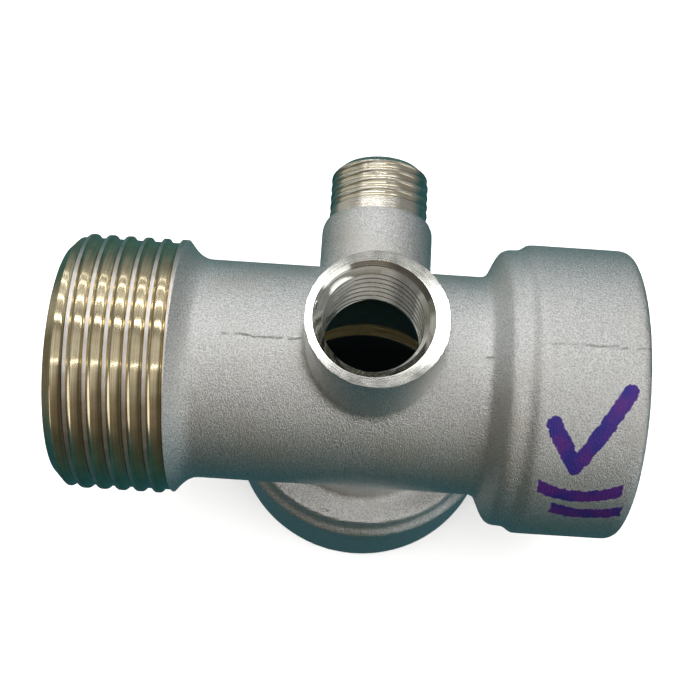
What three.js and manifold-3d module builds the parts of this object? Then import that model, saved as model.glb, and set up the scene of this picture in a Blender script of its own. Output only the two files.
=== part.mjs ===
// A pump tee with two small side ports, cast in one piece from brass, and the two flat
// washers that seal its female ports.
//
// Modelling axes, all meeting in the middle of the casting:
//   X  the run: male thread towards -X, female port towards +X
//   Y  the switch nipple towards +Y
//   Z  the gauge port towards +Z and the female branch towards -Z
// The finished group is lifted so that the branch rim stands on Z = 0, with the whole
// part centred over the origin.

import * as THREE from 'three';
import { mergeVertices } from 'three/addons/utils/BufferGeometryUtils.js';
import Module from 'manifold-3d';

const wasm = await Module();
wasm.setup();

// ---- Driving dimensions, in millimetres ---------------------------------------------

// Parallel pipe threads, with flanks at 55 degrees to each other
const large = { major: 33.249, pitch: 2.309, facets: 24 };
const small = { major: 13.157, pitch: 1.337, facets: 16 };
const flankAngle = THREE.MathUtils.degToRad(27.5);
const depthPerPitch = 0.64033; // of the rounded thread form
const largeCrestShortfall = 0.65; // the large male crests are left flat, this far under size

// Run
const maleReach = 38.5; // centre to the end of the male thread
const maleThreadLength = 14.4;
const maleEndChamfer = 1.6;
const maleShoulderLength = 2.8; // the cone from the thread down to the tube
const runBore = 23.2;
const tubeWall = 2.45;
const socketSpacing = 0.4; // between the run socket's floor and the branch's thread
const runFloor = 3; // metal between the run socket and the shoulder outside it
const runShoulderRound = 2.2;
const runCollarLength = 4.4;

// Female ports, run and branch alike
const barrelWall = 1.93; // outside the thread's roots
const collarInset = 0.8; // the collar stands this far inside the barrel
const stepLength = 0.9; // from the collar out to the barrel
const rimRound = 1.5;
const socketDepth = 15;
const socketThreadLength = 12;

// Branch
const branchSocketFloor = 13; // centre to the floor of the branch's socket
const branchNeckBore = 24.4;
const branchNeckWall = 1.5;
const branchFloor = 4.4;
const branchShoulderRound = 1.2;
const branchCollarLength = 2.3;

// Gauge port
const gaugeReach = 22.9;
const gaugeWall = 1.62; // outside the thread's roots
const gaugeThreadLength = 10.3;
const gaugeBoreShift = 0.4; // the hole is drilled off the cast boss, towards the male end

// Switch nipple
const nippleReach = 29.2;
const nippleThreadLength = 8.1;
const nippleCollarStep = 0.82; // from the thread's crests out to the cast collar
const nippleShoulderRound = 0.6;
const nippleEndChamfer = 1;
const nippleBore = 7;

// Washers
const washerThickness = 2;
const washerClearance = 0.3; // in the socket, and over its floor
const washerCover = 0.66; // how much of the socket floor's width the washer covers, from the outside in

// ---- Sizes that follow --------------------------------------------------------------

large.minor = large.major - 2 * depthPerPitch * large.pitch;
small.minor = small.major - 2 * depthPerPitch * small.pitch;
const maleCrestDiameter = large.major - largeCrestShortfall;
const tubeDiameter = runBore + 2 * tubeWall;
const barrelDiameter = large.major + 2 * barrelWall;
const collarDiameter = barrelDiameter - 2 * collarInset;
const runSocketFloor = large.major / 2 + socketSpacing;
const femaleReach = runSocketFloor + socketDepth; // centre to the face of the run's female port
const branchNeckDiameter = branchNeckBore + 2 * branchNeckWall;
const branchReach = branchSocketFloor + socketDepth;
const gaugeBossDiameter = small.major + 2 * gaugeWall;
const nippleCollarDiameter = small.major + 2 * nippleCollarStep;
const nippleCollarReach = nippleReach - nippleThreadLength;

// ---- Finishes -----------------------------------------------------------------------

const castBrass = new THREE.MeshStandardMaterial({ color: 0xb3b2ad, roughness: 0.55, metalness: 0.9 });
const blackRubber = new THREE.MeshStandardMaterial({ color: 0x232323, roughness: 0.8, metalness: 0 });

// ---- Helpers ------------------------------------------------------------------------

const overshoot = 1; // cutters pass this far beyond the faces that they open
const skinFacets = 36; // flats round the cast outside; each thread has its own number
const roundFacets = 3; // straight steps in a quarter round

/** Triangle corners, without the triangles that close to nothing on a lathe's axis. */
function properTriangles(index) {
  const kept = [];
  for (let i = 0; i < index.length; i += 3) {
    const [a, b, c] = [index[i], index[i + 1], index[i + 2]];
    if (a !== b && b !== c && c !== a) kept.push(a, b, c);
  }
  return new Uint32Array(kept);
}

/** A closed three.js geometry as a manifold solid. */
function solid(geometry) {
  geometry.deleteAttribute('normal');
  geometry.deleteAttribute('uv');
  const merged = mergeVertices(geometry, 1e-5);
  const vertProperties = new Float32Array(merged.attributes.position.array);
  const triVerts = properTriangles(merged.index.array);
  return new wasm.Manifold(new wasm.Mesh({ numProp: 3, vertProperties, triVerts }));
}

/** A manifold solid as a named, shaded three.js mesh. */
function namedMesh(name, shape, material) {
  const { vertProperties, triVerts } = shape.getMesh();
  const geometry = new THREE.BufferGeometry();
  geometry.setAttribute('position', new THREE.BufferAttribute(vertProperties, 3));
  geometry.setIndex(new THREE.BufferAttribute(triVerts, 1));
  geometry.computeVertexNormals();
  const mesh = new THREE.Mesh(geometry, material);
  mesh.name = name;
  return mesh;
}

/** Each entry turns a geometry made along +Y to lie along the named direction. */
const layAlong = {
  '+X': (geometry) => geometry.rotateZ(-Math.PI / 2),
  '-X': (geometry) => geometry.rotateZ(Math.PI / 2),
  '+Y': (geometry) => geometry,
  '+Z': (geometry) => geometry.rotateX(Math.PI / 2),
  '-Z': (geometry) => geometry.rotateX(-Math.PI / 2),
};

/** A solid of revolution from [radius, distance] points, closed onto its axis. */
function turned(outline, direction, facets) {
  const start = outline[0][1];
  const end = outline[outline.length - 1][1];
  const closed = [[0, start], ...outline, [0, end]];
  const points = closed.map(([radius, distance]) => new THREE.Vector2(radius, distance));
  return solid(layAlong[direction](new THREE.LatheGeometry(points, facets)));
}

/** A round bar, or the drill for a hole, between two distances from the centre. */
function bar(diameter, start, end, direction, facets) {
  return turned([[diameter / 2, start], [diameter / 2, end]], direction, facets);
}

/** A countersink that opens a bore to mouthDiameter at its face, at 45 degrees. */
function countersink(mouthDiameter, boreDiameter, face, direction, facets) {
  const outline = [
    [boreDiameter / 2, face - (mouthDiameter - boreDiameter) / 2],
    [mouthDiameter / 2, face],
    [mouthDiameter / 2 + overshoot, face + overshoot],
  ];
  return turned(outline, direction, facets);
}

/** A quarter round that leaves a face, at distance, and joins a wall, at radius. */
function roundedShoulder(radius, distance, round) {
  const points = [];
  for (let i = 0; i <= roundFacets; i += 1) {
    const angle = (i / roundFacets) * (Math.PI / 2);
    points.push([radius - round * (1 - Math.sin(angle)), distance + round * (1 - Math.cos(angle))]);
  }
  return points;
}

/** A quarter round that leaves a wall, at radius, and joins a face, at distance. */
function roundedRim(radius, distance, round) {
  const shoulder = roundedShoulder(radius, 0, round).reverse();
  return shoulder.map(([pointRadius, inward]) => [pointRadius, distance - inward]);
}

/**
 * The cutter for a right-hand thread, a sharp V whose width on the pitch line is half a
 * pitch. It winds in from beyond the mouth for the given length, and climbs out of the
 * metal in its last half turn. outward is 1 on a male thread, whose groove opens
 * outwards, and -1 on a female one.
 */
function threadCutter(thread, outward, mouth, length, direction) {
  const pitchRadius = (thread.major + thread.minor) / 4;
  const root = pitchRadius - (outward * thread.pitch) / 4 / Math.tan(flankAngle);
  const open = pitchRadius + (outward * thread.pitch) / 2;
  const openHalf = Math.abs(open - root) * Math.tan(flankAngle);
  const groove = new THREE.Shape([
    new THREE.Vector2(root, 0),
    new THREE.Vector2(open, -outward * openHalf),
    new THREE.Vector2(open, outward * openHalf),
  ]);
  const leadIn = 1.3 * thread.pitch;
  const steps = Math.round(((leadIn + length) / thread.pitch) * thread.facets);
  const turns = steps / thread.facets;
  const ribbon = new THREE.ExtrudeGeometry(groove, { depth: turns, steps, bevelEnabled: false });
  const corner = ribbon.getAttribute('position');
  const fadeTurns = 0.5;
  for (let i = 0; i < corner.count; i += 1) {
    const turn = corner.getZ(i);
    const fade = Math.max(0, 1 - (turns - turn) / fadeTurns);
    const radius = corner.getX(i) + fade * (open - root);
    const distance = mouth + leadIn - turn * thread.pitch + corner.getY(i);
    const angle = turn * 2 * Math.PI;
    corner.setXYZ(i, radius * Math.cos(angle), distance, radius * Math.sin(angle));
  }
  return solid(layAlong[direction](ribbon));
}

// ---- The casting --------------------------------------------------------------------

/** The outside of a female port from its shoulder to its rim. */
function portOutline(shoulder, shoulderRound, collarLength, reach) {
  return [
    ...roundedShoulder(collarDiameter / 2, shoulder, shoulderRound),
    [collarDiameter / 2, shoulder + collarLength],
    [barrelDiameter / 2, shoulder + collarLength + stepLength],
    ...roundedRim(barrelDiameter / 2, reach, rimRound),
  ];
}

/** The male end, from its chamfered tip to the foot of the cone that meets the tube. */
function maleSpigot() {
  const coneTop = maleReach - maleThreadLength;
  const outline = [
    [tubeDiameter / 2, 0],
    [tubeDiameter / 2, coneTop - maleShoulderLength],
    [maleCrestDiameter / 2, coneTop],
    [maleCrestDiameter / 2, maleReach - maleEndChamfer],
    [maleCrestDiameter / 2 - maleEndChamfer, maleReach],
  ];
  return turned(outline, '-X', large.facets);
}

/** The tube, which starts inside the male end's cone, and the female port that ends it. */
function runSkin() {
  const shoulder = runSocketFloor - runFloor;
  const outline = [
    [tubeDiameter / 2, maleThreadLength + maleShoulderLength - maleReach],
    [tubeDiameter / 2, shoulder],
    ...portOutline(shoulder, runShoulderRound, runCollarLength, femaleReach),
  ];
  return turned(outline, '+X', skinFacets);
}

function branchSkin() {
  const shoulder = branchSocketFloor - branchFloor;
  const outline = [
    [branchNeckDiameter / 2, 0],
    [branchNeckDiameter / 2, shoulder],
    ...portOutline(shoulder, branchShoulderRound, branchCollarLength, branchReach),
  ];
  return turned(outline, '-Z', skinFacets);
}

function nippleSkin() {
  const outline = [
    [nippleCollarDiameter / 2, 0],
    ...roundedRim(nippleCollarDiameter / 2, nippleCollarReach, nippleShoulderRound),
    [small.major / 2, nippleCollarReach],
    [small.major / 2, nippleReach - nippleEndChamfer],
    [small.major / 2 - nippleEndChamfer, nippleReach],
  ];
  return turned(outline, '+Y', small.facets);
}

/** The socket of a female port, with the thread cut into it and its mouth opened. */
function cutSocket(body, reach, direction) {
  const hole = bar(large.minor, reach - socketDepth, reach + overshoot, direction, large.facets);
  const mouth = countersink(large.major, large.minor, reach, direction, large.facets);
  const thread = threadCutter(large, -1, reach, socketThreadLength, direction);
  return body.subtract(hole).subtract(mouth).subtract(thread);
}

function cutMaleThreads(body) {
  const runThread = threadCutter(large, 1, maleReach, maleThreadLength, '-X');
  const nippleThread = threadCutter(small, 1, nippleReach, nippleThreadLength, '+Y');
  return body.subtract(runThread).subtract(nippleThread);
}

function cutGaugePort(body) {
  const foot = gaugeReach - gaugeThreadLength;
  const hole = bar(small.minor, 0, gaugeReach + overshoot, '+Z', small.facets);
  const mouth = countersink(small.major, small.minor, gaugeReach, '+Z', small.facets);
  const thread = threadCutter(small, -1, gaugeReach, gaugeThreadLength, '+Z');
  const pocket = bar(small.major, 0, foot, '+Z', small.facets);
  const cutter = hole.add(mouth).add(thread).add(pocket);
  return body.subtract(cutter.translate([-gaugeBoreShift, 0, 0]));
}

function cutWaterways(body) {
  const run = bar(runBore, -maleReach - overshoot, femaleReach, '+X', large.facets);
  const branch = bar(branchNeckBore, 0, branchReach, '-Z', large.facets);
  const nipple = bar(nippleBore, 0, nippleReach + overshoot, '+Y', small.facets);
  return body.subtract(run).subtract(branch).subtract(nipple);
}

function buildCasting() {
  const boss = bar(gaugeBossDiameter, 0, gaugeReach, '+Z', skinFacets);
  let body = maleSpigot().add(runSkin()).add(branchSkin()).add(nippleSkin()).add(boss);
  body = cutWaterways(body);
  body = cutSocket(body, femaleReach, '+X');
  body = cutSocket(body, branchReach, '-Z');
  body = cutGaugePort(body);
  return cutMaleThreads(body);
}

// ---- The washers --------------------------------------------------------------------

/** A flat ring that lies on a socket's floor, inside the thread. */
function buildWasher(socketFloor, direction) {
  const seat = socketFloor + washerClearance;
  const outer = large.minor - 2 * washerClearance;
  const floorWidth = (outer - Math.max(runBore, branchNeckBore)) / 2;
  const inner = outer - 2 * washerCover * floorWidth;
  const disc = bar(outer, seat, seat + washerThickness, direction, large.facets);
  const hole = bar(inner, seat - overshoot, seat + washerThickness + overshoot, direction, large.facets);
  return disc.subtract(hole);
}

// ---- Assembly -----------------------------------------------------------------------

const fitting = new THREE.Group();
fitting.add(namedMesh('body', buildCasting(), castBrass));
fitting.add(namedMesh('run_port_washer', buildWasher(runSocketFloor, '+X'), blackRubber));
fitting.add(namedMesh('branch_port_washer', buildWasher(branchSocketFloor, '-Z'), blackRubber.clone()));
fitting.position.set(
  (maleReach - femaleReach) / 2,
  (barrelDiameter / 2 - nippleReach) / 2,
  branchReach,
);

export default fitting;
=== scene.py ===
# %% [markdown]
# # A cast brass pump tee
# This notebook builds the looks of a five-way pump connector: one brass casting with a
# blasted grey skin, threads cut back to bare metal, and a flat rubber washer in each
# large female port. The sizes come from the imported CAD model, which is loaded first
# and never changed. Everything is in metres, in the CAD model's own frame.

# %% Load the frame
import math

import bmesh
import bpy
from mathutils import Matrix, Vector


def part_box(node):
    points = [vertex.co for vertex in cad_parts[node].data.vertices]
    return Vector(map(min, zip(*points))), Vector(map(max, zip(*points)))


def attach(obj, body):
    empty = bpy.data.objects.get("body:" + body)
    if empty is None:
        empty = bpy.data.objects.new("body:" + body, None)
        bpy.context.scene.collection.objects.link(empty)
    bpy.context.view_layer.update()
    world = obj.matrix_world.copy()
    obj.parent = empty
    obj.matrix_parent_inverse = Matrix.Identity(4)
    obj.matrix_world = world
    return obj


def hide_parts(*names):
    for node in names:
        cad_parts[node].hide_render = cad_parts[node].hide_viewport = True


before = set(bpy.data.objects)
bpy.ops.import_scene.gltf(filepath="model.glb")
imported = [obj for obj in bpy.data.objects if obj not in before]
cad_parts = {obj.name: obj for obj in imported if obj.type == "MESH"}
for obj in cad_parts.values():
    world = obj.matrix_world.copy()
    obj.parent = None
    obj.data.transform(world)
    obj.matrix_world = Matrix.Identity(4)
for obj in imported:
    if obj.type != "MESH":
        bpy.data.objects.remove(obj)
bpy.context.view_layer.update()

print("CAD nodes:", sorted(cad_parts))

# %% [markdown]
# ## Sizes
# The middle of the casting, where all five port axes meet, is the easiest place to
# think from. The CAD box gives it: the male thread reaches a known distance one way,
# the switch nipple another and the gauge boss a third. The rest of the sizes are the
# CAD model's own, in millimetres, because pipe threads are stated that way.

# %% Driving sizes
MM = 0.001
male_reach = 38.5
nipple_reach = 29.2
gauge_reach = 22.9
low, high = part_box("body")
centre = Vector((low.x + male_reach * MM, high.y - nipple_reach * MM, high.z - gauge_reach * MM))
female_reach = (high.x - centre.x) / MM
branch_reach = (centre.z - low.z) / MM

tube_radius = 14.05
neck_radius = 13.7
run_bore_radius = 11.6
branch_bore_radius = 12.2
barrel_radius = 18.53
collar_radius = 17.75
branch_collar_radius = 17.45
rim_round = 1.1
step_length = 0.9
socket_depth = 15.0
male_crest_radius = 16.3
male_thread_length = 14.4
male_chamfer = 1.6
cone_length = 2.8
nipple_collar_radius = 7.4
nipple_thread_length = 8.1
nipple_bore_radius = 3.5
boss_radius = 8.2
gauge_thread_length = 10.3
gauge_shift = 0.4
cone_top = male_reach - male_thread_length
nipple_collar_reach = nipple_reach - nipple_thread_length
print("centre", [round(v, 5) for v in centre])
print("female reach", round(female_reach, 2), "branch reach", round(branch_reach, 2))

# %% [markdown]
# ## Turning shapes
# Every port is round, so it could be a stack of cylinders, a curve with a bevel, or an
# outline spun about its axis. Spinning an outline is how a lathe works, and one
# outline holds the whole shape, so that is the way here. An outline is a list of
# (radius, distance) points, where distance runs out from the centre of the casting.

# %% Directions and the spinning helper
LAY = {
    "+X": Matrix.Rotation(math.pi / 2, 4, "Y"),
    "-X": Matrix.Rotation(-math.pi / 2, 4, "Y"),
    "+Y": Matrix.Rotation(-math.pi / 2, 4, "X"),
    "+Z": Matrix.Identity(4),
    "-Z": Matrix.Rotation(math.pi, 4, "X"),
}


def place(bm, direction, aside=Vector((0, 0, 0))):
    """Millimetres along +Z about the origin become metres along the named direction."""
    move = Matrix.Translation(centre + aside * MM) @ LAY[direction] @ Matrix.Scale(MM, 4)
    bmesh.ops.transform(bm, matrix=move, verts=bm.verts)


def to_object(bm, name):
    bmesh.ops.recalc_face_normals(bm, faces=bm.faces)
    mesh = bpy.data.meshes.new(name)
    bm.to_mesh(mesh)
    bm.free()
    piece = bpy.data.objects.new(name, mesh)
    bpy.context.scene.collection.objects.link(piece)
    return piece


def spun(name, outline, direction, steps=96, closed=False, aside=Vector((0, 0, 0))):
    """A turned solid. An open outline is closed onto its axis, a closed one is a ring."""
    bm = bmesh.new()
    points = list(outline)
    if not closed:
        points = [(0.0, points[0][1]), *points, (0.0, points[-1][1])]
    corners = [bm.verts.new((radius, 0.0, distance)) for radius, distance in points]
    pairs = list(zip(corners, corners[1:]))
    if closed:
        pairs.append((corners[-1], corners[0]))
    edges = [bm.edges.new(pair) for pair in pairs]
    bmesh.ops.spin(bm, geom=corners + edges, cent=(0, 0, 0), axis=(0, 0, 1),
                   angle=2 * math.pi, steps=steps, use_merge=True)
    bmesh.ops.remove_doubles(bm, verts=bm.verts, dist=1e-4)
    place(bm, direction, aside)
    return to_object(bm, name)


def rounded(radius, distance, fillet, inward, steps=8):
    """A quarter round between a wall at radius and a face at distance. inward is 1 where
    the metal lies beyond the face (a shoulder) and -1 where it lies before it (a rim)."""
    points = []
    for i in range(steps + 1):
        turn = i / steps * math.pi / 2
        out = fillet * (1 - math.sin(turn))
        along = fillet * (1 - math.cos(turn))
        points.append((radius - out, distance + inward * along))
    return points if inward > 0 else points[::-1]


print("port directions:", ", ".join(LAY))

# %% [markdown]
# ## The cast skin
# A foundry pours the whole outside in one go, so every inside corner has a small
# fillet and every outside corner is a little soft. Bevelling the seams between joined
# cylinders is fragile. Joining the spun shapes loosely, remeshing them as one skin
# of small even faces and smoothing that skin gives the same soft corners everywhere.
# Where a cutter will later leave bare metal, the skin starts with stock to spare.

# %% Outlines of the ports
stock = 0.5
overlap = 20.0
run_shoulder = 14.25
run_shoulder_radius = 17.35
run_shoulder_length = 1.55
run_collar_start = run_shoulder + 2.4
run_collar_length = 1.6
branch_shoulder = 8.6
branch_shoulder_radius = branch_collar_radius - 0.4
branch_collar_start = 8.9
branch_collar_length = 2.0
nipple_stock_radius = 6.95
nipple_collar_round = 0.7


def port_outline(collar, start, length, reach):
    """From where the collar starts, over the small step, out to the port's rim."""
    return [
        (collar, start), (collar, start + length),
        (barrel_radius, start + length + step_length),
        *rounded(barrel_radius, reach, rim_round, -1),
    ]


def flare(low_radius, high_radius, start, end, steps=10):
    """A hollow cone: it leaves the tube gently and steepens towards the thread."""
    shares = [i / steps for i in range(steps + 1)]
    return [(low_radius + (high_radius - low_radius) * share ** 1.8, start + (end - start) * share)
            for share in shares]


print("run collar starts at", run_collar_start, "and branch collar at", branch_collar_start)


# %% The rough shapes of the casting
def casting_shapes():
    """The five arms, each a spun solid that starts at the middle or past it."""
    male_end = spun("male_end", [
        (tube_radius, 0), *flare(tube_radius, male_crest_radius, cone_top - cone_length, cone_top),
        (male_crest_radius + stock, cone_top + stock),
        (male_crest_radius + stock, male_reach + stock)], "-X")
    run = spun("run", [
        (tube_radius, -overlap), (tube_radius, run_shoulder),
        (run_shoulder_radius, run_shoulder + run_shoulder_length),
        *port_outline(collar_radius, run_collar_start, run_collar_length, female_reach)], "+X")
    branch = spun("branch", [
        (neck_radius, 0), (neck_radius, branch_shoulder), (branch_shoulder_radius, branch_shoulder),
        *port_outline(branch_collar_radius, branch_collar_start, branch_collar_length, branch_reach)],
        "-Z")
    boss = spun("boss", [(boss_radius, 0), (boss_radius, gauge_reach + stock)], "+Z")
    nipple = spun("nipple", [
        (nipple_collar_radius, 0),
        *rounded(nipple_collar_radius, nipple_collar_reach, nipple_collar_round, -1),
        (nipple_stock_radius, nipple_collar_reach), (nipple_stock_radius, nipple_reach + stock)], "+Y")
    return [male_end, run, branch, boss, nipple]


shapes = casting_shapes()
print("rough shapes:", [shape.name for shape in shapes])


# %% Joined as one skin
def joined(pieces, name):
    """Several objects' meshes in one object. They may overlap."""
    bm = bmesh.new()
    for piece in pieces:
        bm.from_mesh(piece.data)
        bpy.data.objects.remove(piece)
    mesh = bpy.data.meshes.new(name)
    bm.to_mesh(mesh)
    bm.free()
    piece = bpy.data.objects.new(name, mesh)
    bpy.context.scene.collection.objects.link(piece)
    return piece


def apply_modifiers(piece):
    """Keeps what the modifiers make as the piece's own mesh."""
    seen = piece.evaluated_get(bpy.context.evaluated_depsgraph_get())
    mesh = bpy.data.meshes.new_from_object(seen)
    piece.modifiers.clear()
    piece.data = mesh


casting = joined(shapes, "casting")
remesh = casting.modifiers.new("one skin", "REMESH")
remesh.mode = "VOXEL"
remesh.voxel_size = 0.52 * MM
smooth = casting.modifiers.new("soft corners", "SMOOTH")
smooth.factor = 0.5
smooth.iterations = 2
apply_modifiers(casting)
print("cast skin faces:", len(casting.data.polygons))

# %% [markdown]
# ## Machining
# On the real part, the threads, bores and port faces are cut after casting. Booleans
# do the same here: each cutter is a spun shape, and the faces that it leaves take the
# cutter's own finish, so bare metal shows exactly where a tool has been.

# %% Finish slots and cutting
FINISHES = ["cast_skin", "run_thread", "run_crest", "run_socket", "branch_socket",
            "gauge_port", "nipple_thread", "nipple_crest", "waterway"]
finishes = {name: bpy.data.materials.new(name) for name in FINISHES}
casting.data.materials.clear()
casting.data.materials.append(finishes["cast_skin"])


def cut(piece, cutter, finish):
    """Subtracts the cutter. The new faces get the named finish."""
    cutter.data.materials.clear()
    cutter.data.materials.append(finishes[finish])
    trim = piece.modifiers.new("cut", "BOOLEAN")
    trim.operation = "DIFFERENCE"
    trim.solver = "MANIFOLD"
    trim.material_mode = "TRANSFER"
    trim.object = cutter
    apply_modifiers(piece)
    bpy.data.objects.remove(cutter)


def bore(radius, start, end, direction, steps=96, aside=Vector((0, 0, 0))):
    return spun("bore", [(radius, start), (radius, end)], direction, steps, aside=aside)


def countersink(mouth, radius, face, direction, steps=96, aside=Vector((0, 0, 0))):
    depth = mouth - radius
    outline = [(radius, face - depth), (mouth, face), (mouth + 1, face + 1)]
    return spun("countersink", outline, direction, steps, aside=aside)


print("finishes:", ", ".join(finishes))


# %% [markdown]
# ## Threads
# A thread is a groove on a helix. The groove's section is spun about the axis while it
# moves along it, one pitch a turn, and the spin operator's dvec gives that movement for
# each step. In the sockets and the gauge port the section is a 55 degree V with a
# rounded root. The male threads are worn shallow, so theirs is a broad floor that
# steepens into narrow crests.

# %% Sections of the grooves
flank = math.radians(27.5)
depth_per_pitch = 0.64033


def groove_section(major, pitch, crest, root_round, crest_round, steps=6):
    """A female groove's (radius, offset) points, from one lip round the root to the other.
    The lips meet the crest in a small round, as a worn tap leaves them."""
    pitch_radius = major / 2 - depth_per_pitch * pitch / 2
    sine, cosine = math.sin(flank), math.cos(flank)
    apex = pitch_radius + pitch / 4 / math.tan(flank)
    middle = apex - root_round / sine
    crest_height = apex - crest - crest_round
    crest_half = crest_height * math.tan(flank) + crest_round / cosine
    side = []
    for i in range(steps // 2 + 1):
        turn = i / (steps // 2) * (math.pi / 2 - flank)
        side.append((middle + root_round * math.cos(turn), root_round * math.sin(turn)))
    for i in range(steps // 2 + 1):
        turn = flank + i / (steps // 2) * (math.pi / 2 - flank)
        rise, run = crest_round * math.sin(turn), crest_round * math.cos(turn)
        side.append((apex - (crest_height + rise), crest_half - run))
    side.append((crest - 0.5 * pitch, crest_half + 0.02))
    return [(radius, -offset) for radius, offset in side[:0:-1]] + side


def worn_section(pitch, crest, depth, crest_half, power=3.6, steps=8):
    """A rolled groove, worn shallow: a broad floor that steepens into narrow crests."""
    half = pitch / 2 - crest_half
    shares = [i / steps for i in range(steps + 1)]
    side = [(crest - depth * (1 - share ** power), half * share) for share in shares]
    side.append((crest + 0.5 * pitch, half + 0.02))
    return [(radius, -offset) for radius, offset in side[:0:-1]] + side


large_major, large_pitch = 33.249, 2.309
small_major, small_pitch = 13.157, 1.337
small_crest = small_major / 2
print("thread depths:", round(depth_per_pitch * large_pitch, 3), round(depth_per_pitch * small_pitch, 3))


# %% The thread cutter
def thread_cutter(section, pitch, mouth, length, direction, steps, aside=Vector((0, 0, 0))):
    """A right-hand groove, wound in from beyond the mouth."""
    bm = bmesh.new()
    lead_in = 1.3 * pitch
    start = mouth + lead_in
    corners = [bm.verts.new((radius, 0.0, start + offset)) for radius, offset in section]
    face = bm.faces.new(corners)
    turns = (lead_in + length) / pitch
    count = round(turns * steps)
    bmesh.ops.spin(bm, geom=[face], cent=(0, 0, 0), axis=(0, 0, -1),
                   dvec=(0, 0, -pitch / steps), angle=2 * math.pi * count / steps, steps=count)
    place(bm, direction, aside)
    return to_object(bm, "thread")


# %% Cut the male run thread
clear = 3.0
male_groove_length = 14.0
turning = spun("turning", [
    (male_crest_radius, cone_top), (male_crest_radius, male_reach + clear),
    (male_crest_radius + clear, male_reach + clear), (male_crest_radius + clear, cone_top)],
    "-X", steps=128, closed=True)
cut(casting, turning, "run_crest")
end_chamfer = spun("chamfer", [
    (male_crest_radius, male_reach - male_chamfer), (male_crest_radius - male_chamfer, male_reach),
    (male_crest_radius - male_chamfer, male_reach + clear),
    (male_crest_radius + clear, male_reach + clear),
    (male_crest_radius + clear, male_reach - male_chamfer)], "-X", steps=128, closed=True)
cut(casting, end_chamfer, "run_thread")
cut(casting, bore(male_crest_radius + clear, male_reach, male_reach + clear, "-X"), "run_thread")
male_section = worn_section(large_pitch, male_crest_radius, depth=0.48, crest_half=0.22)
male_groove = thread_cutter(male_section, large_pitch, male_reach, male_groove_length, "-X", 96)
cut(casting, male_groove, "run_thread")
print("after the male thread:", len(casting.data.polygons), "faces")

# %% Cut the nipple's thread
nipple_chamfer = 1.0
nipple_thread_foot = nipple_collar_reach + 0.05
nipple_groove_mouth = nipple_reach - 0.35
nipple_groove_length = 6.35
nipple_turning = spun("turning", [
    (small_crest, nipple_thread_foot), (small_crest, nipple_reach - nipple_chamfer),
    (small_crest - nipple_chamfer, nipple_reach), (small_crest - nipple_chamfer, nipple_reach + clear),
    (small_crest + clear, nipple_reach + clear), (small_crest + clear, nipple_thread_foot)],
    "+Y", steps=96, closed=True)
cut(casting, nipple_turning, "nipple_crest")
cut(casting, bore(small_crest + clear, nipple_reach, nipple_reach + clear, "+Y"), "nipple_thread")
nipple_section = worn_section(small_pitch, small_crest, depth=0.26, crest_half=0.1)
nipple_groove = thread_cutter(
    nipple_section, small_pitch, nipple_groove_mouth, nipple_groove_length, "+Y", 64)
cut(casting, nipple_groove, "nipple_thread")
print("after the nipple's thread:", len(casting.data.polygons), "faces")

# %% [markdown]
# ## Waterways and sockets
# The two straight bores meet in the middle. The sockets at the female ports are wider
# than the bores, with a floor for the washer, a thread, and a countersunk mouth. Inner
# walls could be drawn from the start, but cutting them in a machinist's order keeps
# every edge crisp, and a socket is then one function for both ports.

# %% Waterways
male_mouth_chamfer = 0.8
cut(casting, bore(run_bore_radius, -male_reach - clear, female_reach, "+X", 128), "waterway")
cut(casting, bore(branch_bore_radius, 0, branch_reach, "-Z", 128), "waterway")
cut(casting, bore(nipple_bore_radius, 0, nipple_reach + clear, "+Y", 64), "nipple_thread")
male_mouth = countersink(run_bore_radius + male_mouth_chamfer, run_bore_radius, male_reach, "-X")
cut(casting, male_mouth, "run_thread")
print("with the waterways:", len(casting.data.polygons), "faces")

# %% Female sockets
large_minor_radius = large_major / 2 - depth_per_pitch * large_pitch
socket_groove_length = 11.5


def cut_socket(reach, direction, finish):
    """A female port's flat face, bore, countersunk mouth and thread."""
    cut(casting, bore(barrel_radius + clear, reach, reach + clear, direction), finish)
    cut(casting, bore(large_minor_radius, reach - socket_depth, reach + clear, direction, 128), finish)
    cut(casting, countersink(large_major / 2, large_minor_radius, reach, direction, 128), finish)
    section = groove_section(
        large_major, large_pitch, large_minor_radius, root_round=0.35, crest_round=0.2)
    cut(casting, thread_cutter(section, large_pitch, reach, socket_groove_length, direction, 96), finish)


cut_socket(female_reach, "+X", "run_socket")
cut_socket(branch_reach, "-Z", "branch_socket")
print("with the sockets:", len(casting.data.polygons), "faces")

# %% Gauge port
aside = Vector((-gauge_shift, 0, 0))
small_minor_radius = small_crest - depth_per_pitch * small_pitch
gauge_mouth_radius = small_crest + 0.35
gauge_groove_length = 11.5
thread_foot = gauge_reach - gauge_thread_length
cut(casting, bore(boss_radius + clear, gauge_reach, gauge_reach + clear, "+Z"), "gauge_port")
cut(casting, bore(small_crest, 0, thread_foot, "+Z", 96, aside), "waterway")
cut(casting, bore(small_minor_radius, 0, gauge_reach + clear, "+Z", 96, aside), "gauge_port")
gauge_mouth = countersink(gauge_mouth_radius, small_minor_radius, gauge_reach, "+Z", 96, aside)
cut(casting, gauge_mouth, "gauge_port")
gauge_section = groove_section(
    small_major, small_pitch, small_minor_radius, root_round=0.2, crest_round=0.12)
gauge_groove = thread_cutter(gauge_section, small_pitch, gauge_reach, gauge_groove_length, "+Z", 64, aside)
cut(casting, gauge_groove, "gauge_port")
casting.data.calc_loop_triangles()
print("machined casting:", len(casting.data.loop_triangles), "triangles")

# %% [markdown]
# ## Small faults
# Sand casting leaves a few gas pits, and a nick where the mould halves meet. They could
# be bump in the material, but a true hollow catches the light from every side, so each
# is a small stretched ball, cut out of the skin.

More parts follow.
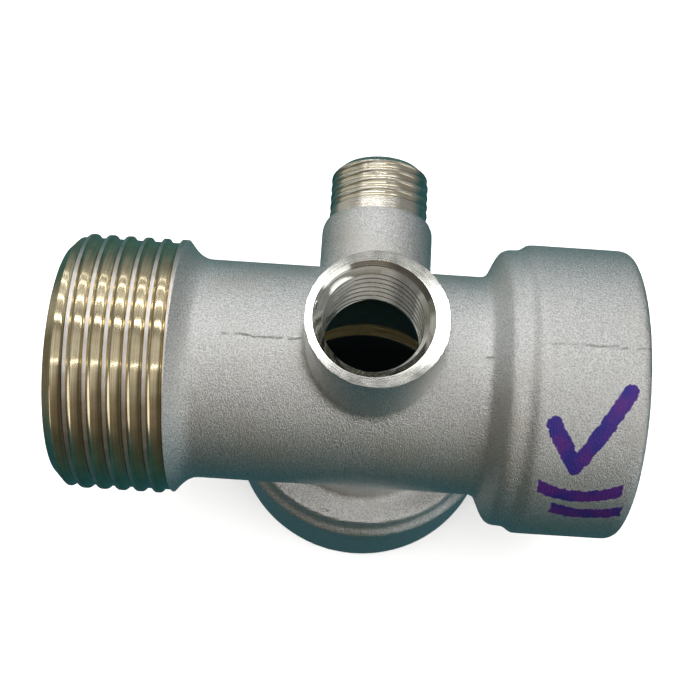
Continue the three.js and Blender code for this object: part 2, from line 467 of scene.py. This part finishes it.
# %% Small faults in the casting
# A nick where the mould halves met at the collar, and two gas pits: place and radius
PITS = [((13.8, -0.9, 14.15), 0.4), ((-4.7, -15.9, -8.6), 0.36), ((19.8, -10.1, 15.05), 0.38)]
pit_stretch = (1.9, 0.7, 0.8)
for pit_place, pit_radius in PITS:
    bm = bmesh.new()
    bmesh.ops.create_icosphere(bm, subdivisions=2, radius=pit_radius)
    bmesh.ops.scale(bm, vec=pit_stretch, verts=bm.verts)
    bmesh.ops.translate(bm, vec=pit_place, verts=bm.verts)
    bmesh.ops.transform(bm, matrix=Matrix.Translation(centre) @ Matrix.Scale(MM, 4), verts=bm.verts)
    cut(casting, to_object(bm, "pit"), "cast_skin")
print("pits:", len(PITS))

# %% Soft shading over curves, hard over machined edges
hard_edge = math.radians(32)
casting.data.shade_smooth()
casting.data.set_sharp_from_angle(angle=hard_edge)
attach(casting, "root")
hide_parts("body")
print("casting:", len(casting.data.polygons), "faces")

# %% [markdown]
# ## Washers
# Each large female port seals on a flat rubber ring that lies on the socket's floor.
# The CAD rings have flats round them, so each is turned again here as a true round
# with softly moulded edges.

# %% Washers
washer_gap = 0.3
washer_lip = 0.9
washer_edge = 0.3
washer_thickness = 2.0


def washer(name, node, direction, seat):
    """A flat ring with rounded outer edges, as wide as its CAD node."""
    lower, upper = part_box(node)
    outer = (upper.y - lower.y) / 2 / MM
    inner = branch_bore_radius + washer_lip
    end = seat + washer_thickness
    ring = spun(name, [
        (inner, seat), (outer - washer_edge, seat), *rounded(outer, seat, washer_edge, 1, 4),
        *rounded(outer, end, washer_edge, -1, 4), (inner + washer_edge, end), (inner, end - washer_edge)],
        direction, 96, closed=True)
    ring.data.shade_smooth()
    ring.data.set_sharp_from_angle(angle=hard_edge)
    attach(ring, "root")
    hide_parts(node)
    return ring


washers = [
    washer("run_washer", "run_port_washer", "+X", female_reach - socket_depth + washer_gap),
    washer("branch_washer", "branch_port_washer", "-Z", branch_reach - socket_depth + washer_gap),
]
print("washers:", [ring.name for ring in washers])

# %% [markdown]
# ## Writing materials as sums
# A material is a small program drawn as nodes. Wiring it by hand hides the idea, so a
# small class lets a socket be added, multiplied and mixed like a number, and each
# operation adds its own node.

# %% The class
class Shade:
    """A value or colour inside a material."""

    def __init__(self, tree, socket):
        self.tree = tree
        self.socket = socket

    def node(self, kind, settings=None, inputs=None, output=0):
        """Any node: its settings are set first, then its sockets' values or links."""
        made = self.tree.nodes.new(kind)
        for name, value in (settings or {}).items():
            setattr(made, name, value)
        for name, value in (inputs or {}).items():
            if isinstance(value, Shade):
                self.tree.links.new(value.socket, made.inputs[name])
            else:
                made.inputs[name].default_value = value
        return Shade(self.tree, made.outputs[output])

    def math(self, operation, *values):
        inputs = dict(enumerate((self, *values)))
        return self.node("ShaderNodeMath", {"operation": operation}, inputs)

    def __add__(self, other):
        return self.math("ADD", other)

    __radd__ = __add__

    def __mul__(self, other):
        return self.math("MULTIPLY", other)

    __rmul__ = __mul__

    def __sub__(self, other):
        return self.math("SUBTRACT", other)

    def __rsub__(self, other):
        return (self * -1) + other

    def __truediv__(self, other):
        return self.math("DIVIDE", other)

    def step(self, start, end):
        """0 up to start, 1 from end on, and a smooth ramp between. start may be the larger."""
        low_end, high_end = min(start, end), max(start, end)
        ramp = self.node("ShaderNodeMapRange", {"interpolation_type": "SMOOTHSTEP"},
                         {"Value": self, "From Min": low_end, "From Max": high_end})
        return ramp if start < end else 1 - ramp

    def mix(self, first, second):
        """The first colour where this is 0 and the second where it is 1."""
        return self.node("ShaderNodeMix", {"data_type": "RGBA"}, {0: self, 6: first, 7: second}, 2)

    def noise(self, scale, detail=2.0, roughness=0.5):
        """Cloudy noise on this vector, from 0 to 1."""
        return self.node("ShaderNodeTexNoise", None,
                         {"Vector": self, "Scale": scale, "Detail": detail, "Roughness": roughness})

    def parts(self):
        split = self.node("ShaderNodeSeparateXYZ", None, {0: self})
        node = split.socket.node
        return [Shade(self.tree, output) for output in node.outputs]

    def vector(self, x, y, z):
        return self.node("ShaderNodeCombineXYZ", None, {0: x, 1: y, 2: z})


def start_material(name):
    """An emptied node tree with a surface shader, and the place in mm from the centre."""
    material = finishes.get(name) or bpy.data.materials.new(name)
    material.use_nodes = True
    tree = material.node_tree
    tree.nodes.clear()
    end = tree.nodes.new("ShaderNodeOutputMaterial")
    surface = tree.nodes.new("ShaderNodeBsdfPrincipled")
    tree.links.new(surface.outputs[0], end.inputs[0])
    coordinates = tree.nodes.new("ShaderNodeTexCoord")
    here = Shade(tree, coordinates.outputs["Object"])
    location = [-v / MM for v in centre]
    scale = [1 / MM] * 3
    place_mm = here.node("ShaderNodeMapping", None, {"Vector": here, "Location": location, "Scale": scale})
    return material, surface, place_mm


def connect(surface, **links):
    """Sets or links the shader's sockets, named in lower case with underscores."""
    tree = surface.id_data
    for name, value in links.items():
        socket = surface.inputs[name.replace("_", " ").title()]
        if isinstance(value, Shade):
            tree.links.new(value.socket, socket)
        else:
            socket.default_value = value


def bump(height, distance_mm):
    """Relief too fine to model, drawn by the shading alone."""
    return height.node("ShaderNodeBump", None, {"Height": height, "Distance": distance_mm * MM})


print("shader sums ready for", len(finishes), "finishes")

# %% [markdown]
# ## The blasted cast skin
# Shot blasting leaves a fine sandy grain with a satin sparkle. One noise at about a
# fifth of a millimetre gives the grain, one about three times coarser the dimples, and
# a broad one the faint warm clouds. The mould's parting line and the inspector's ink
# could be pieces of their own, but are too thin, so they are masks in the same material.

# %% The inspector's mark, in paint marker
def stroke(u, v, start, end):
    """Distance in mm from a straight stroke on the unrolled barrel."""
    run_u, run_v = end[0] - start[0], end[1] - start[1]
    off_u, off_v = u - start[0], v - start[1]
    share = (off_u * run_u + off_v * run_v) / (run_u ** 2 + run_v ** 2)
    share = share.math("MAXIMUM", 0.0).math("MINIMUM", 1.0)
    side_u, side_v = off_u - share * run_u, off_v - share * run_v
    return (side_u * side_u + side_v * side_v).math("SQRT")


def sweep(u, v, middle, half_length, sag):
    """Distance in mm from a shallow bow along u, lowest in the middle."""
    off_u = u - middle[0]
    bow = off_u * off_u * (-sag / half_length ** 2) + (middle[1] + sag)
    past_end = off_u.math("ABSOLUTE") - half_length
    return (v - bow).math("ABSOLUTE").math("MAXIMUM", past_end + 0.9)


def ink_mask(place_mm):
    """A tick with two bowed strokes under it, with frayed edges."""
    x, y, z = place_mm.parts()
    around = (y * -1).math("ARCTAN2", z) * barrel_radius
    tick = stroke(x, around, (21.0, 9.4), (23.9, 14.6))
    tick = tick.math("MINIMUM", stroke(x, around, (23.9, 14.6), (29.4, 5.2)))
    upper = sweep(x, around, (25.0, 17.6), 4.9, 1.3)
    lower = sweep(x, around, (26.3, 21.2), 4.2, 0.8)
    reach = tick.math("MINIMUM", upper).math("MINIMUM", lower)
    frayed = reach + (place_mm.noise(1.4, 3.0) - 0.5) * 0.8
    return frayed.step(1.05, 0.9)


print("inspector's mark: a tick and two strokes")


# %% The skin material
def parting_mask(place_mm):
    """A thin broken line in the plane of the run and the gauge port."""
    x, y, _ = place_mm.parts()
    wander = (place_mm.noise(0.45, 3.0) - 0.5) * 1.1
    line = (y - wander).math("ABSOLUTE").step(0.15, 0.04)
    stretches = x.step(-20.0, -18.0) * x.step(-7.0, -9.0) + x.step(19.0, 22.0) * x.step(34.0, 32.5)
    return line * stretches * place_mm.noise(0.7).step(0.4, 0.55)


def make_cast_skin():
    _, surface, place_mm = start_material("cast_skin")
    sand = place_mm.noise(5.5, 2.0, 0.7)
    dimples = place_mm.noise(1.6, 2.0)
    broad = place_mm.noise(0.11, 2.0)
    ink = ink_mask(place_mm)
    parting = parting_mask(place_mm)
    grey = sand.step(0.38, 0.6).mix((0.64, 0.645, 0.64, 1), (1.0, 1.0, 0.99, 1))
    warm = (broad.step(0.5, 0.72) * 0.6).mix(grey, (0.80, 0.76, 0.70, 1))
    marked = (parting * 0.32).mix(warm, (0.12, 0.12, 0.12, 1))
    violet = place_mm.noise(0.35).step(0.35, 0.65).mix((0.022, 0.014, 0.19, 1), (0.075, 0.014, 0.18, 1))
    inked = ink.mix(marked, violet)
    height = sand * 0.9 + dimples * 0.35 - parting * 0.7
    connect(surface, base_color=inked, metallic=1 - ink * 0.8,
            roughness=0.32 + sand * 0.12, normal=bump(height, 0.15))


make_cast_skin()
print("cast skin:", len(finishes["cast_skin"].node_tree.nodes), "nodes")

# %% [markdown]
# ## Machined metal
# A lathe tool leaves rings: fine grooves that follow the cut round its axis. Noise that
# changes quickly with radius and distance, and hardly at all round the axis, draws
# them on a face, in a bore and on a thread flank alike.

# %% Machined materials
def tool_marks(place_mm, axis, aside_mm=0.0):
    x, y, z = place_mm.parts()
    x = x - aside_mm if aside_mm else x
    along, first, second = {"X": (x, y, z), "Y": (y, x, z), "Z": (z, x, y)}[axis]
    radius = (first * first + second * second).math("SQRT")
    return place_mm.vector(radius * 7.0, along * 7.0, first * 0.06).noise(1.0, 3.0, 0.6)


def make_machined(name, axis, dark, light, roughness, aside_mm=0.0, marks_mm=0.02):
    _, surface, place_mm = start_material(name)
    marks = tool_marks(place_mm, axis, aside_mm)
    grime = place_mm.noise(0.5, 3.0)
    colour = (marks * 0.6 + grime * 0.4).step(0.35, 0.65).mix(dark, light)
    height = marks + place_mm.noise(3.0) * 0.03
    connect(surface, base_color=colour, metallic=1.0,
            roughness=(grime + 0.5) * roughness, normal=bump(height, marks_mm))


# %% The finish of each machined face
# Each metal is its dark colour and its light one
BRASS = ((0.54, 0.45, 0.28, 1), (0.74, 0.65, 0.45, 1))
PALE_BRASS = ((0.64, 0.58, 0.45, 1), (0.82, 0.77, 0.64, 1))
BROWN = ((0.84, 0.60, 0.32, 1), (0.95, 0.72, 0.42, 1))
PALE = ((0.66, 0.62, 0.58, 1), (0.84, 0.81, 0.78, 1))
SILVER = ((0.58, 0.58, 0.55, 1), (0.76, 0.76, 0.72, 1))
# The bores' rough brass, darkened nearly to black: the darkness is painted shade
PAINTED_SHADE_BRASS = ((0.10, 0.075, 0.05, 1), (0.17, 0.13, 0.085, 1))
NIPPLE_PALE = ((0.68, 0.64, 0.56, 1), (0.85, 0.81, 0.73, 1))

make_machined("run_thread", "X", *BRASS, 0.13, marks_mm=0.006)
make_machined("run_crest", "X", *PALE, 0.35)
make_machined("run_socket", "X", *BRASS, 0.33)
make_machined("branch_socket", "Z", *BROWN, 0.55)
make_machined("nipple_thread", "Y", *PALE_BRASS, 0.14, marks_mm=0.006)
make_machined("nipple_crest", "Y", *NIPPLE_PALE, 0.25)
make_machined("gauge_port", "Z", *SILVER, 0.07, -gauge_shift, 0.001)
# Rough bore walls; their very dark colour is painted shade deep inside the casting
make_machined("waterway", "X", *PAINTED_SHADE_BRASS, 0.6)
print("machined finishes:", ", ".join(FINISHES[1:]))

# %% [markdown]
# ## Rubber
# A sealing washer is black rubber with a faint dusty bloom and a fine grain. A flat
# black would do deep inside a port, but two noises cost little, and the washers then
# hold up when they are looked at on their own.

# %% Rubber
def make_rubber():
    material, surface, place_mm = start_material("washer_rubber")
    bloom = place_mm.noise(0.8, 3.0)
    grain = place_mm.noise(6.0, 2.0)
    colour = bloom.step(0.4, 0.7).mix((0.018, 0.018, 0.019, 1), (0.035, 0.035, 0.035, 1))
    connect(surface, base_color=colour, roughness=0.6 + bloom * 0.2, normal=bump(grain, 0.02))
    return material


rubber = make_rubber()
for ring in washers:
    ring.data.materials.clear()
    ring.data.materials.append(rubber)
print("rubber on", len(washers), "washers")

# %% [markdown]
# ## Stage, light and camera
# Metal shows its surroundings more than its own colour, so the room matters more than
# the lamps. Lamps with an edge could be placed one by one, but a workshop ceiling with
# rows of tubes is simpler as one formula: brightness by the angle across the rows, a
# bright strip for each row, and a soft window at each end. The floor sweeps up into a
# wall far off, so the backdrop is pale all round. The lamp is kept out of reflections,
# and the floor out of reflections and of soft light too, so that a dim teal bench below
# gives the metal's lower edges their tone.

# %% Floor
floor_gap = 0.0002
floor_radius = 2.0
sweep_radius = 1.0
wall_height = 5.0
# Width in mm of the soft edge of the painted shadow under the casting
painted_shadow_width = 3.0
near_glow_end, far_glow_start = 300.0, 1200.0


def make_floor():
    """A pale disc sweeping up into a far wall that no view sees past, with a painted shadow under the
    casting.
    """
    bm = bmesh.new()
    curve = [math.radians(15 * i) for i in range(7)]
    sweep_up = [(floor_radius + sweep_radius * math.sin(turn), sweep_radius * (1 - math.cos(turn)))
                for turn in curve]
    profile = [(0, 0), *sweep_up, (floor_radius + sweep_radius, wall_height)]
    corners = [bm.verts.new((radius, 0, low.z - floor_gap + height)) for radius, height in profile]
    edges = [bm.edges.new(pair) for pair in zip(corners, corners[1:])]
    bmesh.ops.spin(bm, geom=corners + edges, cent=(0, 0, 0), axis=(0, 0, 1),
                   angle=2 * math.pi, steps=64, use_merge=True)
    bmesh.ops.remove_doubles(bm, verts=bm.verts, dist=1e-4)
    floor = to_object(bm, "floor")
    floor.data.shade_smooth()
    material, surface, place_mm = start_material("pale_floor")
    x, y, _ = place_mm.parts()
    away = (x * x + y * y).math("SQRT")
    # Painted shadow: the floor is dark and gives no glow in a round under the casting
    outside_painted_shadow = away.step(barrel_radius - painted_shadow_width, barrel_radius)
    pale = outside_painted_shadow.mix((0.01, 0.02, 0.03, 1), (0.9, 0.9, 0.9, 1))
    near_glow_with_painted_shadow = outside_painted_shadow.mix((0, 0, 0, 1), (0.45, 0.45, 0.45, 1))
    lit = away.step(near_glow_end, far_glow_start).mix(near_glow_with_painted_shadow, (1, 1, 1, 1))
    connect(surface, base_color=pale, roughness=0.9, emission_color=lit, emission_strength=1.0)
    floor.data.materials.append(material)
    floor.visible_glossy = False
    floor.visible_diffuse = False
    return floor


print("floor:", [round(side, 2) for side in make_floor().dimensions], "m")

# %% World
# The angle across the rows, in degrees from overhead towards the back, and its colour
CEILING = [
    (-150, (0.018, 0.075, 0.090)), (-118, (0.045, 0.080, 0.072)), (-95, (0.070, 0.080, 0.066)),
    (-70, (0.21, 0.18, 0.145)), (-50, (0.31, 0.28, 0.24)), (-21, (0.83, 0.82, 0.80)),
    (-17, (0.68, 0.67, 0.66)), (4, (0.64, 0.63, 0.62)), (14, (0.32, 0.32, 0.31)),
    (26, (0.38, 0.38, 0.37)), (36, (0.92, 0.91, 0.90)), (62, (0.62, 0.62, 0.62)),
    (84, (0.27, 0.30, 0.31)), (105, (0.10, 0.18, 0.19)), (125, (0.07, 0.16, 0.155)),
    (180, (0.018, 0.075, 0.090))]
# Each row of lamps: its angle, half its width, its brightness and its ends along x
ROWS = [(20.0, 1.9, 7.0, -0.68, 0.2), (40, 0.9, 9.0, -0.6, 0.5), (57, 0.9, 6.0, -0.6, 0.5),
        (67, 0.8, 3.0, -0.6, 0.5), (-19, 0.5, 8.0, -0.6, 0.5)]
# Each window: its direction, the cosine at its edge and its brightness
WINDOWS = [((0.83, -0.51, 0.22), 0.965, 1.2), ((-0.83, 0.55, 0.02), 0.95, 0.3)]
row_fade = 0.05
window_fade = 0.05


def lamp_glow(x, y, z, turn):
    """The rows of lamps and the windows, each with soft edges."""
    glow = None
    for angle, half, bright, left, right in ROWS:
        strip = (turn - angle).math("ABSOLUTE").step(half, half * 0.6)
        strip = strip * x.step(left - row_fade, left + row_fade)
        strip = strip * x.step(right + row_fade, right - row_fade) * bright
        glow = strip if glow is None else glow + strip
    for (aim_x, aim_y, aim_z), edge, bright in WINDOWS:
        facing = x * aim_x + y * aim_y + z * aim_z
        glow = glow + facing.step(edge - window_fade, edge) * bright
    return glow


def ceiling_colour(turn):
    """CEILING's colours on a ramp that goes once round, from the bench back to the bench."""
    share = turn / 360 + 0.5
    ramp = share.node("ShaderNodeValToRGB", None, {0: share})
    elements = ramp.socket.node.color_ramp.elements
    elements[0].position, elements[0].color = CEILING[0][0] / 360 + 0.5, (*CEILING[0][1], 1)
    elements[1].position, elements[1].color = CEILING[-1][0] / 360 + 0.5, (*CEILING[-1][1], 1)
    for angle, colour in CEILING[1:-1]:
        elements.new(angle / 360 + 0.5).color = (*colour, 1)
    return ramp


def make_world():
    world = bpy.data.worlds.new("workshop")
    bpy.context.scene.world = world
    world.use_nodes = True
    tree = world.node_tree
    tree.nodes.clear()
    end = tree.nodes.new("ShaderNodeOutputWorld")
    coordinates = tree.nodes.new("ShaderNodeTexCoord")
    x, y, z = Shade(tree, coordinates.outputs["Generated"]).parts()
    turn = y.math("ARCTAN2", z) * (180 / math.pi)
    # The end walls take over from the ceiling at both ends of the run, teal low down
    walls = (x.math("ABSOLUTE") + x * 0.15).step(0.45, 0.8)
    near_wall = x.step(-0.2, 0.2).mix((0.19, 0.185, 0.15, 1), (0.27, 0.27, 0.26, 1))
    lit_end = (z + x.step(-0.2, 0.2) * -0.4).step(-0.8, -0.2).mix((0.03, 0.10, 0.115, 1), near_wall)
    room = walls.mix(ceiling_colour(turn), lit_end)
    # The bench is darker in front of the male end
    bench_shade = x.step(-0.1, -0.45) * turn.step(-18, -26) * turn.step(-150, -120)
    room = (bench_shade * 0.7).mix(room, (0.05, 0.045, 0.04, 1))
    back = room.node("ShaderNodeBackground", None, {"Color": room})
    glow = lamp_glow(x, y, z, turn)
    tubes = glow.node("ShaderNodeBackground", None, {"Color": (1, 1, 0.98, 1), "Strength": glow})
    both = back.node("ShaderNodeAddShader", None, {0: back, 1: tubes})
    tree.links.new(both.socket, end.inputs[0])


make_world()
print("world:", len(ROWS), "rows of lamps and", len(WINDOWS), "windows")


# %% Lamp
def soft_light(name, direction, distance, size, watts):
    """An area lamp that doesn't show in metal."""
    data = bpy.data.lights.new(name, "AREA")
    data.shape = "RECTANGLE"
    data.size, data.size_y = size
    data.energy = watts
    lamp = bpy.data.objects.new(name, data)
    lamp.location = centre + Vector(direction).normalized() * distance
    lamp.rotation_euler = Vector(direction).to_track_quat("Z", "Y").to_euler()
    lamp.visible_glossy = False
    bpy.context.scene.collection.objects.link(lamp)
    print(name, watts, "W")


soft_light("floor_wash", (-0.2, 0.3, 1.0), distance=0.8, size=(1.4, 1.4), watts=12)

# %% Camera
view = bpy.data.cameras.new("camera")
view.sensor_width = 36
view.lens = 59.991429
view.clip_start = 0.01
camera = bpy.data.objects.new("camera", view)
lean, turn, roll = math.radians(18.52), math.radians(0.48), math.radians(-3.74)
aim = Matrix.Rotation(lean, 3, "X") @ Matrix.Rotation(-turn, 3, "Y") @ Matrix.Rotation(-roll, 3, "Z")
offset = Vector((-2.45, 3.70, 150.85)) * MM  # right, up and back from the middle
camera.matrix_world = Matrix.Translation(centre + aim @ offset) @ aim.to_4x4()
bpy.context.scene.collection.objects.link(camera)
bpy.context.scene.camera = camera
bpy.context.scene.view_settings.view_transform = "Standard"
print("camera at", [round(v, 4) for v in camera.matrix_world.translation])
